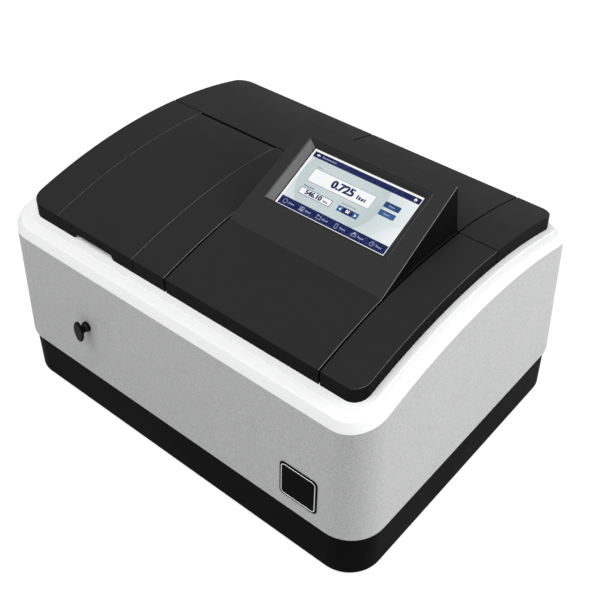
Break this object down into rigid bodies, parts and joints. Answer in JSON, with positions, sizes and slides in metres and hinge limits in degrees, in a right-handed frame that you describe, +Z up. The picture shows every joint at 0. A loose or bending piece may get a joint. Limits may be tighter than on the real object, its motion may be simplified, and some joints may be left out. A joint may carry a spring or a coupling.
{
  "type": "uv-vis spectrophotometer",
  "caption": "Bench spectrophotometer with arched top, hinged sample lid, sloping touch-screen console and a pull rod that moves the cell carriage.",
  "frame": {"origin": "on the table under the centre of the whole object's box, the four rubber feet standing on z = 0", "axes": "+Z up, the front with the pull rod towards -Y, +X to the right seen from the front, where the display console is"},
  "size_m": [0.46, 0.3662, 0.292],
  "materials": {
    "base_black": "moulded black, satin gloss",
    "housing_white": "fine-textured light grey-white paint",
    "cover_black": "fine-textured matt black",
    "bezel_black": "smooth black",
    "touch_glass": "clear cover glass",
    "lcd": "lit display",
    "circuit_board": "green solder mask with parts",
    "rubber": "black rubber",
    "badge": "bare black plate in a thin silver border",
    "deck_grey": "grey paint",
    "steel": "bright steel",
    "black_anodised": "matt black anodised",
    "quartz": "clear fused quartz",
    "chrome_rod": "polished",
    "knob_black": "moulded, satin black",
    "bush_dark": "matt black",
    "cast_alloy": "machined casting",
    "mirror_mount": "coated mirror on its mount",
    "grating": "ruled reflecting face",
    "motor_black": "black",
    "filter_glass": "coloured filter glass",
    "sheet_metal": "zinc-plated sheet",
    "ceramic": "unglazed ceramic",
    "panel_grey": "satin grey",
    "fan_black": "moulded black",
    "fitting_black": "moulded black"
  },
  "bodies": {
    "instrument": {"base_tray": "base_black", "rubber_feet": "rubber", "housing_shell": "housing_white", "badge_plate": "badge", "shoulder_ring": "housing_white", "support_deck": "deck_grey", "left_cover": "cover_black", "mid_cover": "cover_black", "console_cover": "cover_black", "right_cover": "cover_black", "rear_left_cover": "cover_black", "rear_centre_cover": "cover_black", "rear_right_cover": "cover_black", "screen_bezel": "bezel_black", "touch_glass": "touch_glass", "lcd_module": "lcd", "display_board": "circuit_board", "lid_hinge_pin": "steel", "lid_hinge_brackets": "steel", "lid_seal": "rubber", "compartment_tub": "black_anodised", "beam_windows": "quartz", "changer_rails": "steel", "rod_bush": "bush_dark", "detent_spring": "steel", "optical_bench": "cast_alloy", "bench_posts": "cast_alloy", "mono_casting": "black_anodised", "mono_cover": "black_anodised", "slit_plates": "steel", "mono_mirrors": "mirror_mount", "grating_motor": "motor_black", "filter_motor": "motor_black", "lamp_house": "sheet_metal", "lamp_house_cover": "sheet_metal", "tungsten_lamp": "quartz", "deuterium_lamp": "quartz", "lamp_sockets": "ceramic", "lamp_mirror_motor": "motor_black", "detector_house": "cast_alloy", "detector_board": "circuit_board", "power_supply": "sheet_metal", "main_board": "circuit_board", "rear_panel": "panel_grey", "panel_screws": "steel", "fan_frame": "fan_black", "power_inlet": "fitting_black", "rocker_frame": "fitting_black", "data_ports": "steel"},
    "lid": {"sample_lid": "cover_black"},
    "cell_changer": {"cell_carriage": "black_anodised", "pull_rod": "chrome_rod", "pull_knob": "knob_black"},
    "rocker": {"power_rocker": "fitting_black"},
    "fan_wheel": {"fan_rotor": "fan_black"},
    "grating_drive": {"grating_table": "cast_alloy", "grating_block": "grating"},
    "filter_disc": {"filter_wheel": "black_anodised", "filter_glasses": "filter_glass"},
    "source_mirror": {"lamp_mirror": "mirror_mount"}
  },
  "joints": [
    {"name": "lid_hinge", "type": "hinge", "parent": "instrument", "child": "lid", "pos_m": [-0.11075, 0.05212, 0.23639], "axis": [-1, 0, 0], "range_deg": [0, 80]},
    {"name": "changer_slide", "type": "slide", "parent": "instrument", "child": "cell_changer", "axis": [0, -1, 0], "range_m": [0, 0.045]},
    {"name": "rocker_pivot", "type": "hinge", "parent": "instrument", "child": "rocker", "pos_m": [0.092, 0.17092, 0.128], "axis": [1, 0, 0], "range_deg": [0, 20]},
    {"name": "fan_spin", "type": "hinge", "parent": "instrument", "child": "fan_wheel", "pos_m": [-0.095, 0.16193, 0.11], "axis": [0, 1, 0], "continuous": true},
    {"name": "grating_turn", "type": "hinge", "parent": "instrument", "child": "grating_drive", "pos_m": [0.02, -0.00487, 0.11], "axis": [0, 0, 1], "range_deg": [-10, 40]},
    {"name": "filter_turn", "type": "hinge", "parent": "instrument", "child": "filter_disc", "pos_m": [0.056, 0.05513, 0.126], "axis": [0, 1, 0], "continuous": true},
    {"name": "source_mirror_turn", "type": "hinge", "parent": "instrument", "child": "source_mirror", "pos_m": [0.056, 0.09513, 0.12], "axis": [0, 0, 1], "range_deg": [0, 45]}
  ]
}
